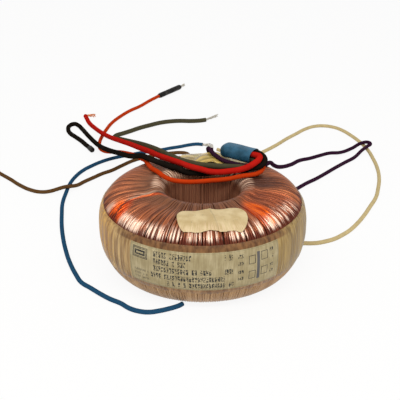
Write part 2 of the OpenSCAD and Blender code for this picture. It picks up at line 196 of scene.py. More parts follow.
red_route = [
    (22.2, 16.9, 47.2), (23.5, 16.1, 47.2), (25, 14.2, 47.7), (26.4, 11.8, 48),
    (25.9, 9.5, 47.5), (23.6, 7.3, 46.5), (21, 6.5, 45.2), (17.4, 6.5, 43.8),
    (12.9, 7.2, 42.7), (8, 7.8, 41.9), (3.5, 9.5, 41.4), (-1, 12, 41.5), (-6, 14.2, 41.9),
    (-10.5, 18.4, 41.8), (-16, 25, 40.9), (-21.4, 32.2, 39.7), (-26.5, 47, 35.5),
    (-33.5, 68, 29), (-41, 93, 21), (-49, 116.5, 13.5), (-57, 137, 7.5), (-63.5, 152.5, 4),
    (-70, 167, 1.9), (-74.5, 176.5, 1.4), (-77.5, 185.5, 1.4), (-79, 190.5, 1.4),
]
black_route = [
    (23.7, 19.5, 47.2), (25.1, 18.7, 47.2), (27.2, 16.7, 47), (28.8, 13.9, 46.2),
    (28.4, 10.9, 45.2), (26.1, 8.9, 44.4), (23.1, 8.9, 43.5), (19.9, 9.8, 42.4),
    (14.8, 10.7, 41.5), (10, 11.3, 40.8), (5.5, 12.3, 39.8), (1, 13.8, 38.6),
    (-3.5, 15, 38.3), (-8, 14.8, 38.8), (-11.5, 14.5, 40.7), (-15.5, 15, 41.6),
    (-20.5, 17.8, 42.4), (-25.5, 21, 43), (-28.8, 27, 41.7), (-31.7, 36, 38), (-38, 57, 29),
    (-45.5, 79.5, 21), (-53.5, 101.5, 13.5), (-62, 125, 6.5), (-67.5, 141, 3),
    (-73, 155, 1.4), (-78.5, 167, 1.4), (-82, 173.5, 1.4), (-84.5, 175.5, 1.4),
    (-87, 172.5, 1.4), (-87.2, 166, 1.4), (-85, 159, 1.4), (-81, 153, 1.4),
    (-76.5, 146.5, 1.4), (-72.5, 139.5, 1.4), (-69.5, 134, 1.7),
]
grey_route = [
    (22.2, 16.9, 44.4), (23.5, 16.1, 44.4), (24.6, 14.3, 44), (24.7, 12.6, 43.2),
    (23, 12.3, 42.4), (20.2, 13, 41.8), (17.9, 13.7, 41.8), (12.5, 14.8, 41.5),
    (6, 15.8, 41.4), (-1.5, 17.5, 41.4), (-6, 19.5, 41.5), (-10.5, 22.8, 41.4),
    (-14, 28, 40.7), (-17.5, 34.5, 39.5), (-22, 47.5, 36), (-28, 67, 30), (-35, 92, 21.5),
    (-43, 115.5, 13.5), (-49.5, 134.5, 7), (-54.5, 146.5, 3.2), (-56, 151.5, 1.6),
    (-54.8, 155.5, 1.4), (-51, 158.8, 1.4), (-47, 162.5, 1.4), (-41, 168.5, 1.4),
    (-34.5, 173.5, 1.4), (-28, 178, 1.4), (-21.5, 180.5, 1.4), (-15, 181.5, 1.4),
    (-8.5, 181.2, 1.4), (-2, 182, 1.4), (2, 183.5, 1.4),
]
orange_route = [
    (23.7, 19.5, 44.4), (25.1, 18.7, 44.4), (27.1, 16.5, 44), (28.2, 13.5, 43.2),
    (27.7, 10.3, 42.2), (25.3, 7.3, 41.5), (22.2, 6, 41.3), (19.4, 5.4, 41.2),
    (16.6, 5.1, 40.8), (12.5, 4, 40.3), (8.5, 3, 40.2), (3.5, 2, 40.2), (-1, 1.5, 40),
    (-6, 1, 40), (-10.5, 1, 40.3), (-14, 1.5, 40.8), (-17.5, 4, 41.2), (-20.5, 9, 41.2),
    (-24, 15.5, 40.4), (-26.5, 23, 39.9), (-28.4, 31, 38), (-30, 39, 35), (-35.5, 62.5, 27),
    (-42.5, 83.5, 19.5), (-48.5, 100.5, 13), (-55, 116, 6.5), (-60, 126, 3),
    (-63.5, 135.5, 1.2), (-64.5, 144.5, 1.1), (-64, 154.5, 1.1), (-62.5, 166, 1.1),
    (-60, 178.5, 1.1), (-55.5, 190.5, 1.1), (-50, 201.5, 1.1), (-43.5, 211, 1.1),
    (-37.5, 221.5, 1.4), (-31.5, 230, 1.9),
]
blue_route = [
    (-8.6, -40.3, 1.05), (-9.9, -41.6, 1.05), (-12, -43, 1.05), (-15.2, -44.6, 1.05),
    (-18.8, -46, 1.05), (-22.5, -46.9, 1.05), (-26.5, -46.4, 1.05), (-31, -44.2, 1.05),
    (-35.5, -40, 1.05), (-40.5, -36.5, 1.05), (-45, -32.5, 1.05), (-50, -27.5, 1.05),
    (-54.5, -23, 1.05), (-58, -16, 1.05), (-62.5, -4.5, 1.05), (-66, 7, 1.05),
    (-69, 19, 1.05), (-71.5, 31.5, 1.05), (-73.5, 45, 1.05), (-75, 58, 1.05), (-75, 71, 1.05),
    (-74.5, 82.5, 1.05), (-72.5, 93, 1.05), (-69, 102, 1.05), (-65, 108, 1.05),
    (-61, 113, 1.05), (-55.5, 118, 1.05), (-50, 121.5, 1.05), (-44, 124.5, 1.05),
    (-38, 127.5, 1.05), (-32, 130, 1.05), (-26, 132, 1.05), (-20, 135, 1.05),
    (-14, 137.5, 1.05), (-8, 140.5, 1.05), (-3.5, 141.7, 1.05), (0, 141, 1.05),
]
violet_route = [
    (23.3, 34.2, 1.05), (26, 38.5, 1.05), (30, 45, 1.05), (38, 58, 1.05), (46, 69, 1.05),
    (53, 77.5, 1.05), (58.5, 84, 1.05), (64.5, 90, 1.05), (70.5, 97, 1.05),
    (77.5, 105.5, 1.05), (84.5, 113.5, 1.05), (91.5, 121.5, 1.05), (97, 129, 2.4),
    (101, 133.2, 3.4), (103.3, 136.6, 3.4), (102.3, 139.3, 3.4), (98, 137.9, 3.4),
    (91.5, 133.4, 1.8), (84, 127.5, 1.6), (76.5, 122, 3.4), (69, 111, 6.5),
    (61.5, 97.5, 10.5), (53.5, 81.5, 16), (46.5, 63, 21.5), (39.5, 46.5, 27.5),
    (35.2, 34.3, 33.7), (32.6, 27.8, 38), (29.8, 22, 39.5), (25.5, 17.4, 40.9),
    (22, 16, 41.4), (18, 17.2, 41.4), (13.5, 19.2, 41.6), (9.4, 20.7, 42.5),
    (5.8, 23.9, 43.8), (3.8, 29.5, 43.8), (2.9, 35, 42.4), (2.8, 45, 37.5), (3.5, 60, 30),
    (4.3, 80, 21.5), (5, 105, 10.5), (5.4, 125, 2.8), (5.5, 130, 1.6), (5.5, 133, 1.3),
]
white_route = [
    (40, 10.3, 1.05), (42.5, 11, 1.05), (46, 12.5, 1.05), (49, 14, 1.05), (52.5, 14, 1.05),
    (56.5, 14.5, 1.05), (60.5, 16, 1.05), (65, 18.5, 1.05), (69.5, 22.5, 1.05),
    (74, 27.5, 1.05), (79, 35, 1.05), (84, 44, 1.05), (89, 54.5, 1.05), (94, 65.5, 1.05),
    (97.5, 77.5, 1.05), (100.5, 91, 1.05), (102, 105, 1.05), (102, 120, 1.05),
    (101, 134, 1.05), (98, 147, 1.05), (94, 158, 1.05), (90, 166, 1.05), (85.5, 171, 1.05),
    (79.5, 173.5, 1.05), (73, 172.5, 1.05), (66.5, 167.5, 1.05), (60, 159.5, 1.05),
    (52.5, 150, 1.05), (47, 142, 1.05), (42, 135.5, 1.05), (37, 129.5, 1.05),
    (31.5, 123.5, 1.05), (26, 119.5, 1.05), (21.5, 121.5, 1.05), (16.5, 126, 1.05),
    (12, 130.5, 1.05), (9, 132.8, 1.2),
]
brown_route = [
    (-9, 40.3, 1.05), (-9, 44, 1.05), (-9, 48, 1.05), (-8.5, 60, 1.05), (-8, 75, 1.05),
    (-7.5, 90, 1.05), (-7.5, 105, 1.05), (-7.5, 119, 1.05), (-8, 123, 1.05), (-10, 127, 1.05),
    (-13, 128, 1.05), (-18, 127.5, 1.05), (-23, 126, 1.05), (-28, 124, 1.05),
    (-34, 121, 1.05), (-41, 116, 1.05), (-48, 107.5, 1.05), (-53, 101, 1.05),
    (-57.5, 97, 1.05), (-62, 91.5, 1.05), (-66.5, 86, 1.05), (-70, 79.5, 1.7),
    (-73, 75.5, 2.9), (-76, 73.5, 3.4), (-79.5, 72.5, 2.7), (-84, 72, 1.5), (-89, 72, 1.05),
    (-95, 74.5, 1.05), (-102, 80.5, 1.05), (-109, 88.5, 1.05), (-117, 97, 1.05),
    (-123, 104, 1.05),
]


# ---------------------------------------------------------------- the ends of the leads
# Five ends are stripped, and their fine copper strands stay twisted together. The black end
# has a shrunk cap and the orange one a length of heat-shrink. The violet and the white lead
# meet in a soldered splice, which joins the two primaries in series.
UP = Vector((0.0, 0.0, 1.0))
STRANDS, STRAND_POINTS, STRAND_RADIUS = 7, 16, 0.00026
# The strands' lay, in the routes' millimetres: how far inside the lead they start, how far
# they lie from its middle, and how low they may come. They turn round it by the twist.
STRAND_START, STRAND_LAY, STRAND_LOWEST = 0.4, 0.42, 0.3
STRAND_TWIST = 4.5


def onward(route, distance):
    """The place this far past a route's end on the level, and the way it heads there."""
    last, before = Vector(route[-1]), Vector(route[-2])
    ahead = Vector((last.x - before.x, last.y - before.y, 0.0)).normalized()
    return last + distance * ahead, ahead


def end_piece(name, node, curve, material):
    """The curve as a shown piece on the end of a lead, in place of its CAD solid."""
    curve.dimensions = "3D"
    curve.use_fill_caps = True
    made = shown(name, curve, material)
    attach(made, "root")
    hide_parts(node)
    return made


def strands(
    name, node, material, route, length, past=0.0, turn=0.0, bend=0.0, splay=0.5
):
    """Strands laid round each other past a lead's end, splaying towards their tips. They
    leave at a turn to the left of the lead's heading, and bend further to the left."""
    curve = bpy.data.curves.new(name, "CURVE")
    curve.bevel_depth = STRAND_RADIUS
    curve.bevel_resolution = 2
    start, ahead = onward(route, past - STRAND_START)
    ahead.rotate(Matrix.Rotation(math.radians(turn), 3, "Z"))
    aside = UP.cross(ahead)
    chance = np.random.default_rng(11)
    for strand in range(STRANDS):
        spline = curve.splines.new("POLY")
        spline.points.add(STRAND_POINTS - 1)
        reach = length * chance.uniform(0.8, 1.0) + STRAND_START
        own_splay = splay * chance.uniform(0.4, 1.6)
        for step, point in enumerate(spline.points):
            share = step / (STRAND_POINTS - 1)
            turned = bend * share
            middle = start + reach * share * (
                math.cos(turned / 2) * ahead + math.sin(turned / 2) * aside
            )
            angle = 2 * math.pi * strand / STRANDS + STRAND_TWIST * share
            off = STRAND_LAY + own_splay * share**2
            place = middle + off * (math.cos(angle) * aside + math.sin(angle) * UP)
            place.z = max(place.z, STRAND_LOWEST)
            point.co = (*(place / 1000), 1.0)
    return end_piece(name, node, curve, material)


def round_end(name, node, material, route, profile):
    """A round piece on a lead's end, through pairs of distance and radius in millimetres."""
    curve = bpy.data.curves.new(name, "CURVE")
    curve.bevel_depth = 0.001
    curve.bevel_resolution = 6
    spline = curve.splines.new("POLY")
    spline.points.add(len(profile) - 1)
    for point, (distance, radius) in zip(spline.points, profile):
        point.co = (*(onward(route, distance)[0] / 1000), 1.0)
        point.radius = radius
    return end_piece(name, node, curve, material)


def wire_metal(name, colour):
    """Bare drawn wire, slightly tarnished."""
    metal = Finish(name, Metallic=1.0, Roughness=0.32)
    tarnish = metal.place.noise(1500.0, 3.0).rise(0.35, 0.75)
    metal.feed(Base_Color=tarnish.tint(colour, [c * 0.5 for c in colour[:3]] + [1.0]))
    return metal.material


def shrunk(name):
    """Black heat-shrink, drawn in unevenly over what it covers."""
    tube = Finish(name, Roughness=0.45, Specular_IOR_Level=0.08)
    dust = tube.place.noise(300.0, 3.0).rise(0.45, 0.8)
    tube.feed(
        Base_Color=dust.tint((0.012, 0.011, 0.01, 1.0), (0.06, 0.055, 0.05, 1.0)),
        Normal=tube.place.noise(450.0, 2.0).bump(0.5, 0.0004),
    )
    return tube.material


tinned = wire_metal("tinned strands", (0.62, 0.58, 0.5, 1.0))
copper_strands = wire_metal("copper strands", (0.75, 0.3, 0.14, 1.0))
shrink_black = shrunk("black heat-shrink")

red_tip = strands(
    "red_end_strands", "red_tip", copper_strands, red_route, 6.0,
    turn=-45.0, bend=-1.9, splay=0.6,
)
grey_tip = strands(
    "grey_end_strands", "grey_tip", tinned, grey_route, 12.0,
    turn=25.0, splay=0.35,
)
blue_tip = strands("blue_end_strands", "blue_tip", tinned, blue_route, 5.0)
brown_tip = strands("brown_end_strands", "brown_tip", tinned, brown_route, 5.0)
orange_tip = strands(
    "orange_end_strands", "orange_tip", tinned, orange_route, 5.0, past=26.0
)
orange_sleeve = round_end(
    "orange_end_shrink", "orange_end_sleeve", shrink_black, orange_route,
    [(0, 1.25), (0.7, 1.6), (2.5, 1.83), (9, 1.76), (17, 1.83), (24.4, 1.8), (25.5, 1.5), (26, 1)],
)
black_cap = round_end(
    "black_end_shrink", "black_end_cap", shrink_black, black_route,
    [(0, 1.45), (0.5, 1.66), (4.2, 1.62), (4.8, 1.3), (5, 0.9)],
)
splice = round_end(
    "primary_splice", "series_splice", tinned, violet_route,
    [(0, 0.9), (0.5, 1.1), (1.5, 1.18), (4.5, 1.15), (5.5, 1.1), (6, 0.85)],
)


def lead(colour_name, colour, diameter, route, far_end, length, *ends):
    """A lead along its route in millimetres, which its CAD solid follows too. The ends given to it
    are not used.
    """
    curve = bpy.data.curves.new(colour_name + "_lead", "CURVE")
    curve.dimensions = "3D"
    curve.bevel_depth = diameter / 2
    curve.bevel_resolution = 5
    curve.resolution_u = 8
    curve.use_fill_caps = True
    spline = curve.splines.new("BEZIER")
    spline.bezier_points.add(len(route) - 1)
    for point, place in zip(spline.bezier_points, route):
        point.co = Vector(place) / 1000
        point.handle_left_type = point.handle_right_type = "AUTO"
    made = shown(colour_name + "_lead", curve, vinyl(colour_name + " vinyl", colour))
    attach(made, "root")
    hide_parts("lead_" + colour_name)


SECONDARY_D, ORANGE_D, PRIMARY_D = 0.0028, 0.0022, 0.0021
lead("red", (0.5, 0.014, 0.009), SECONDARY_D, red_route, "bare", 0.242, red_tip)
lead("black", (0.012, 0.009, 0.007), SECONDARY_D, black_route, "fitting", 0.289, black_cap)
lead("grey", (0.075, 0.068, 0.038), SECONDARY_D, grey_route, "bare", 0.256, grey_tip)
lead(
    "orange", (0.55, 0.045, 0.006), ORANGE_D, orange_route, "fitting", 0.309,
    orange_sleeve, orange_tip,
)
lead("blue", (0.018, 0.075, 0.155), PRIMARY_D, blue_route, "bare", 0.267, blue_tip)
lead("violet", (0.035, 0.011, 0.03), PRIMARY_D, violet_route, "bare", 0.428, splice)
lead("white", (0.62, 0.5, 0.26), PRIMARY_D, white_route, "bare", 0.299)
lead("brown", (0.12, 0.06, 0.022), PRIMARY_D, brown_route, "bare", 0.238, brown_tip)


# ---------------------------------------------------------------- the visible windings
# Enamelled copper wire, machine-wound through the hole turn after turn. The last secondary
# shows on top, fanned out over the shoulder, and the one under it shows in the gaps. A clear
# film lies over part of them and dulls the copper.
HOLE_R, CREST_R, CROWN_R, FLAT_R, BODY_R = 0.0165, 0.022, 0.0271, 0.0354, 0.0475
FOOT_Z, WIDEST_Z, RIM_Z, CROWN_Z, TOP_Z = 0.005, 0.0202, 0.033, 0.039, 0.040
SHOULDER_POWER = 3.0


def corner(centre, radii, start, end, steps, power=2.0):
    """Points (radius, height) round a corner about centre, between two angles in degrees."""
    points = []
    for step in range(steps + 1):
        angle = math.radians(start + (end - start) * step / steps)
        c, s = math.cos(angle), math.sin(angle)
        points.append((
            centre[0] + radii[0] * math.copysign(abs(c) ** (2 / power), c),
            centre[1] + radii[1] * math.copysign(abs(s) ** (2 / power), s),
        ))
    return points


def winding_outline(inset):
    """Half of the ring's section, this far inside its surface: up the hole, out and back."""
    rim = corner((CREST_R, RIM_Z), (CREST_R - HOLE_R - inset, TOP_Z - RIM_Z - inset), 180, 90, 8)
    crest = [
        (CREST_R + (CROWN_R - CREST_R) * share,
         TOP_Z - inset - (TOP_Z - CROWN_Z) * (1 - math.cos(math.pi * share)) / 2)
        for share in (0.25, 0.5, 0.75)
    ]
    shoulder = corner(
        (CROWN_R, WIDEST_Z), (BODY_R - CROWN_R - inset, CROWN_Z - WIDEST_Z - inset),
        90, 0, 18, SHOULDER_POWER,
    )
    lower = corner((FLAT_R, WIDEST_Z), (BODY_R - FLAT_R - inset, WIDEST_Z - inset), 0, -90, 12)
    foot = corner((CREST_R, FOOT_Z), (CREST_R - HOLE_R - inset, FOOT_Z - inset), 270, 180, 6)
    wall = [(HOLE_R + inset, FOOT_Z + (RIM_Z - FOOT_Z) * share) for share in (0.25, 0.5, 0.75)]
    return rim + crest + shoulder + lower[1:] + foot + wall


def turns_tree():
    """Nodes that sweep one wire round the outline and set copies of it round the axis."""
    tree = bpy.data.node_groups.new("wound turns", "GeometryNodeTree")
    sockets = tree.interface
    sockets.new_socket("Outline", in_out="INPUT", socket_type="NodeSocketGeometry")
    for name, kind in (
        ("Turns", "NodeSocketInt"),
        ("First angle", "NodeSocketFloat"),
        ("Wire radius", "NodeSocketFloat"),
        ("Slant", "NodeSocketFloat"),
        ("Wander", "NodeSocketFloat"),
        ("Seed", "NodeSocketInt"),
        ("Enamel", "NodeSocketMaterial"),
    ):
        sockets.new_socket(name, in_out="INPUT", socket_type=kind)
    sockets.new_socket("Winding", in_out="OUTPUT", socket_type="NodeSocketGeometry")
    source = tree.nodes.new("NodeGroupInput")
    given = {socket.name: Term(tree, socket) for socket in source.outputs if socket.name}
    start = given["Turns"]

    section = start.make(
        "GeometryNodeCurvePrimitiveCircle", None, {"Resolution": 8, "Radius": given["Wire radius"]}
    )
    path = start.make("GeometryNodeMeshToCurve", None, {"Mesh": given["Outline"]})
    wire = start.make("GeometryNodeCurveToMesh", None, {"Curve": path, "Profile Curve": section})
    # The turns crowd together in the hole, so a wire is narrower there than outside.
    place = start.make("GeometryNodeInputPosition")
    x, y, z = (place.part(axis) for axis in range(3))
    crowding = (x / BODY_R).math("MAXIMUM", 0.05).math("SQRT")
    narrowed = start.make("ShaderNodeCombineXYZ", None, {0: x, 1: y * crowding, 2: z})
    wire = start.make("GeometryNodeSetPosition", None, {"Geometry": wire, "Position": narrowed})

    index = start.make("GeometryNodeInputIndex")

    def scatter(amount, key):
        """A different value for each turn, up to amount either way."""
        return start.make(
            "FunctionNodeRandomValue",
            {"data_type": "FLOAT"},
            {2: amount * -1.0, 3: amount, "ID": index, "Seed": given["Seed"] + key},
            1,
        )

    around = (index + given["First angle"]) * (2 * math.pi) / given["Turns"]
    rotation = start.make(
        "ShaderNodeCombineXYZ",
        None,
        {0: scatter(given["Slant"], 1), 1: 0.0, 2: around + scatter(given["Slant"] * 0.3, 2)},
    )
    points = start.make("GeometryNodePoints", None, {"Count": given["Turns"]})
    turns = start.make(
        "GeometryNodeInstanceOnPoints",
        None,
        {"Points": points, "Instance": wire, "Rotation": rotation},
    )
    turns = start.make(
        "GeometryNodeStoreNamedAttribute",
        {"data_type": "FLOAT", "domain": "INSTANCE"},
        {
            "Geometry": turns,
            "Name": "turn",
            "Value": start.make(
                "FunctionNodeRandomValue",
                {"data_type": "FLOAT"},
                {2: 0.0, 3: 1.0, "ID": index, "Seed": given["Seed"]},
                1,
            ),
        },
    )
    winding = start.make("GeometryNodeRealizeInstances", None, {"Geometry": turns})
    # Hand-laid turns wander a little, a few of them together.
    drift = start.make("GeometryNodeInputPosition").noise(160.0, 2.0, 1)
    drift = start.make(
        "ShaderNodeVectorMath", {"operation": "SUBTRACT"}, {0: drift, 1: (0.5, 0.5, 0.5)}
    )
    drift = start.make(
        "ShaderNodeVectorMath", {"operation": "SCALE"}, {0: drift, "Scale": given["Wander"]}
    )
    winding = start.make("GeometryNodeSetPosition", None, {"Geometry": winding, "Offset": drift})
    winding = start.make(
        "GeometryNodeSetShadeSmooth", None, {"Geometry": winding, "Shade Smooth": True}
    )
    winding = start.make(
        "GeometryNodeSetMaterial", None, {"Geometry": winding, "Material": given["Enamel"]}
    )
    sink = tree.nodes.new("NodeGroupOutput")
    tree.links.new(winding.socket, sink.inputs["Winding"])
    return tree


def wind(name, tree, enamel, inset, **inputs):
    """One layer of turns as a plain mesh, wound by the tree round the outline."""
    outline = winding_outline(inset)
    count = len(outline)
    loop = bpy.data.meshes.new(name)
    loop.from_pydata(
        [(r, 0.0, z) for r, z in outline], [(k, (k + 1) % count) for k in range(count)], []
    )
    former = shown(name, loop)
    modifier = former.modifiers.new("turns", "NODES")
    modifier.node_group = tree
    inputs["Enamel"] = enamel
    for socket in tree.interface.items_tree:
        if socket.in_out == "INPUT" and socket.name.replace(" ", "_") in inputs:
            modifier[socket.identifier] = inputs[socket.name.replace(" ", "_")]
    graph = bpy.context.evaluated_depsgraph_get()
    wound = bpy.data.meshes.new_from_object(former.evaluated_get(graph))
    former.modifiers.remove(modifier)
    former.data = wound
    wound.name = name
    return former


def oval(place, middle, heading, length, width, soft=0.35, depth=0.04):
    """1 inside an oval on the crown and 0 outside it, its heading in degrees."""
    local = place.make(
        "ShaderNodeMapping",
        {"vector_type": "TEXTURE"},
        {
            "Vector": place,
            "Location": middle,
            "Rotation": (0.0, 0.0, math.radians(heading)),
            "Scale": (length / 2, width / 2, depth / 2),
        },
    )
    away = place.make("ShaderNodeVectorMath", {"operation": "LENGTH"}, {0: local}, 1)
    return away.fall(1.0 - soft, 1.0 + soft)


def film_edge(x, y):
    """The film's edge, which arches over the left of the crown, and the bare wire before it."""
    beside, bend = x + 0.022, 50.0
    arch = y + 0.009 + beside * beside * bend
    edge = arch.band(-0.0012, -0.0002, 0.0004, 0.0016) * x.fall(-0.012, -0.006)
    bare = arch.band(-0.0034, -0.0022, -0.001, -0.0002) * x.fall(-0.022, -0.012)
    return edge, bare


def film_highlights(x, y, radius):
    """Painted highlights along the crease that crosses the film left of the hole, and on the
    hole's rim behind.
    """
    off_crease = (y - 0.5 * x - 0.004).math("ABSOLUTE")
    crease = off_crease.fall(0.001, 0.004)
    crease = crease * x.band(-0.036, -0.03, -0.02, -0.014)
    rim = radius.band(0.0168, 0.0182, 0.0215, 0.0245) * y.rise(-0.011, -0.002)
    return (crease * 0.5).math("MAXIMUM", rim)


def enamelled_copper(name, dark, bright):
    """Lacquered wire, each turn of its own shade, with the film, light and varnish on it."""
    wire = Finish(name, Specular_IOR_Level=0.2, Coat_Weight=0.12, Coat_Roughness=0.2)
    place = wire.place
    x, y, z = (place.part(axis) for axis in range(3))
    radius = (x * x + y * y).math("SQRT")
    around = y.math("ARCTAN2", x)
    turn = place.make("ShaderNodeAttribute", {"attribute_name": "turn"}, None, 2)
    # Grime and scuffs run along the wires, so this noise is drawn out from the axis.
    combed = place.make("ShaderNodeCombineXYZ", None, {0: around * 3.0, 1: radius * 5.0})
    fine = combed.noise(20.0, 4.0).rise(0.3, 0.7)
    shade = (turn * 0.55 + fine * 0.6).rise(0.15, 1.0)
    grime = fine * 0.6 + turn * 0.4

    # The film lies over the wires but for two ovals and a strip along its edge, and it is
    # thinner over a third oval, where the wire shows rusty.
    edge, bare = film_edge(x, y)
    left = oval(place, (-0.0388, -0.0212, 0.033), 42, 0.017, 0.0105)
    right = oval(place, (0.0245, -0.0255, 0.038), -50, 0.018, 0.009)
    warm = oval(place, (0.0315, -0.0165, 0.038), -30, 0.03, 0.021)
    clear = left.math("MAXIMUM", bare * 0.7).math("MAXIMUM", right)
    inward = radius.fall(0.0235, 0.038)
    film = (1.0 - clear.math("MAXIMUM", warm * 0.6)) * (0.45 + 0.5 * inward)
    # Painted highlight: pale streaks where the film's crease and the hole's far rim catch the
    # light.
    film_highlight = film_highlights(x, y, radius) * combed.noise(13.0, 3.0).rise(0.42, 0.62)
    shadow = oval(place, (0.0275, 0.003, 0.039), 12, 0.024, 0.014, 0.6)
    behind = radius.rise(0.0405, 0.0445) * y.rise(-0.004, 0.012)

    # Light catches the film over the shoulder in short streaks, lower to the left.
    left_front = x.fall(-0.026, -0.006)
    lit = left_front * 0.1 + x.rise(0.018, 0.03) * 0.06
    streak = (turn * 0.3 + combed.noise(26.0, 2.0) * 1.1 + lit).rise(0.64, 0.84)
    height = z + (streak - 0.5) * 0.0014 + left_front * 0.0006
    glint = height.band(0.0332, 0.0346, 0.0368, 0.0385) * y.fall(-0.02, -0.008)
    glint = glint * (1.0 - left) * streak

    # Painted shade darkens the shoulder just over the band, and a dull painted brown stands in for
    # the light and shade deep in the hole. The foot is varnished.
    low = height.fall(0.0336, 0.0352) * (0.8 + 0.2 * (1.0 - streak))
    deep = z.fall(0.03, 0.038) * radius.fall(0.0172, 0.02)
    foot = z.fall(0.0115, 0.0125) * radius.rise(0.03, 0.035)

    haze = (fine * 0.7 + turn * 0.3).tint((0.07, 0.021, 0.009, 1.0), (0.27, 0.11, 0.05, 1.0))
    rust = shade.tint((0.1, 0.02, 0.007, 1.0), (0.42, 0.1, 0.035, 1.0))
    vivid = shade.tint((0.34, 0.025, 0.003, 1.0), (0.9, 0.15, 0.01, 1.0))
    wall = grime.tint((0.22, 0.085, 0.045, 1.0), (0.6, 0.29, 0.17, 1.0))
    varnish = grime.tint((0.29, 0.15, 0.062, 1.0), (0.54, 0.34, 0.165, 1.0))
    # The coats lay painted shadow, painted highlights and painted shade over the film and the
    # copper.
    colour = coated(
        shade.tint(dark, bright),
        (film, haze),
        (warm * 0.8, rust),
        (clear, vivid),
        (edge * 0.75, (0.05, 0.022, 0.014, 1.0)),
        (shadow * 0.8, (0.05, 0.014, 0.008, 1.0)),
        (film_highlight * 0.75, (0.85, 0.58, 0.42, 1.0)),
        (behind * 0.65, (0.4, 0.26, 0.13, 1.0)),
        (glint * 0.85, (1.0, 0.76, 0.6, 1.0)),
        (low * 0.92, (0.09, 0.014, 0.005, 1.0)),
        (deep * 0.9, wall),
        (foot, varnish),
    )
    dull = film.math("MAXIMUM", foot).math("MAXIMUM", glint).math("MAXIMUM", deep)
    wire.feed(
        Base_Color=colour,
        Metallic=0.92 - 0.62 * dull,
        Roughness=0.26 + 0.18 * film,
        Normal=combed.noise(30.0, 3.0).bump(0.2, 0.0003),
    )
    return wire.material


TURNS, WANDER = 125, 0.00025
OUTER_WIRE_R, UNDER_WIRE_R = 0.0007, 0.0008
turns = turns_tree()
outer_enamel = enamelled_copper(
    "enamel of the outer turns", (0.17, 0.035, 0.012, 1.0), (0.72, 0.21, 0.075, 1.0)
)
outer_turns = wind(
    "outer_turns", turns, outer_enamel, OUTER_WIRE_R,
    Turns=TURNS, First_angle=0.0, Wire_radius=OUTER_WIRE_R, Slant=0.012, Wander=WANDER, Seed=3,
)
# The turns underneath take the same enamel painted darker, as painted shade in the gaps between
# the outer turns.
under_enamel = enamelled_copper(
    "enamel of the turns underneath", (0.13, 0.025, 0.009, 1.0), (0.6, 0.16, 0.055, 1.0)
)
under_turns = wind(
    "under_turns", turns, under_enamel, UNDER_WIRE_R,
    Turns=TURNS, First_angle=0.5, Wire_radius=UNDER_WIRE_R, Slant=0.01, Wander=WANDER, Seed=8,
)
for made, node in ((outer_turns, "secondary_winding_b"), (under_turns, "secondary_winding_a")):
    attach(made, "root")
    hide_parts(node)


# ---------------------------------------------------------------- the layers underneath
# What the visible turns hide: the rolled core of steel strip, its tape, the two primaries and
# the tape over them. They keep their CAD form, and only a cut would show them.
for node, colour, metallic, roughness in (
    ("core", (0.32, 0.33, 0.36, 1.0), 1.0, 0.35),
    ("core_insulation", (0.6, 0.52, 0.3, 1.0), 0.0, 0.35),
    ("primary_winding_a", (0.5, 0.13, 0.05, 1.0), 0.9, 0.3),
    ("primary_winding_b", (0.55, 0.16, 0.06, 1.0), 0.9, 0.3),
    ("interwinding_insulation", (0.2, 0.085, 0.04, 1.0), 0.0, 0.5),
):
    layer = Finish(node.replace("_", " "), Metallic=metallic, Roughness=roughness)
    worn = [c * 0.75 for c in colour[:3]] + [1.0]
    layer.feed(Base_Color=layer.place.noise(300.0, 3.0).tint(worn, colour))
    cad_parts[node].data.materials.clear()
    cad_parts[node].data.materials.append(layer.material)


# ---------------------------------------------------------------- the side band
# Several laps of thin yellowish polyester tape pulled tight round the outside. The turns
# print through as upright ridges, and the lower edge has frayed.
def side_radius(z):
    """Radius of the ring's surface at a height on its outside."""
    if z >= WIDEST_Z:
        share = min(1.0, (z - WIDEST_Z) / (CROWN_Z - WIDEST_Z))
        out = (1 - share**SHOULDER_POWER) ** (1 / SHOULDER_POWER)
        return CROWN_R + (BODY_R - CROWN_R) * out
    return FLAT_R + (BODY_R - FLAT_R) * math.sqrt(1 - (1 - z / WIDEST_Z) ** 2)


def crown_height(r):
    """Height of the ring's surface at a radius on its top."""
    if r >= CROWN_R:
        share = min(1.0, (r - CROWN_R) / (BODY_R - CROWN_R))
        up = (1 - share**SHOULDER_POWER) ** (1 / SHOULDER_POWER)
        return WIDEST_Z + (CROWN_Z - WIDEST_Z) * up
    if r >= CREST_R:
        share = (r - CREST_R) / (CROWN_R - CREST_R)
        return TOP_Z - (TOP_Z - CROWN_Z) * (1 - math.cos(math.pi * share)) / 2
    share = min(1.0, (CREST_R - r) / (CREST_R - HOLE_R))
    return RIM_Z + (TOP_Z - RIM_Z) * math.sqrt(1 - share**2)


def skin(name, place, columns, rows, *materials):
    """A smooth grid through place(u, v), with u and v from 0 to 1 and UVs to match."""
    us = [column / columns for column in range(columns + 1)]
    vs = [row / rows for row in range(rows + 1)]
    points = [place(u, v) for v in vs for u in us]
    corners = [
        (j * (columns + 1) + i, j * (columns + 1) + i + 1,
         (j + 1) * (columns + 1) + i + 1, (j + 1) * (columns + 1) + i)
        for j in range(rows)
        for i in range(columns)
    ]
    mesh = bpy.data.meshes.new(name)
    mesh.from_pydata(points, [], corners)
    spread = mesh.uv_layers.new(name="spread")
    for loop in mesh.loops:
        row, column = divmod(loop.vertex_index, columns + 1)
        spread.data[loop.index].uv = (us[column], vs[row])
    mesh.shade_smooth()
    return shown(name, mesh, *materials)


def thickened(made, thickness):
    """Gives a skin its thickness, inwards from the face that shows."""
    solid = made.modifiers.new("thickness", "SOLIDIFY")
    solid.thickness = thickness
    solid.offset = -1.0
    return made


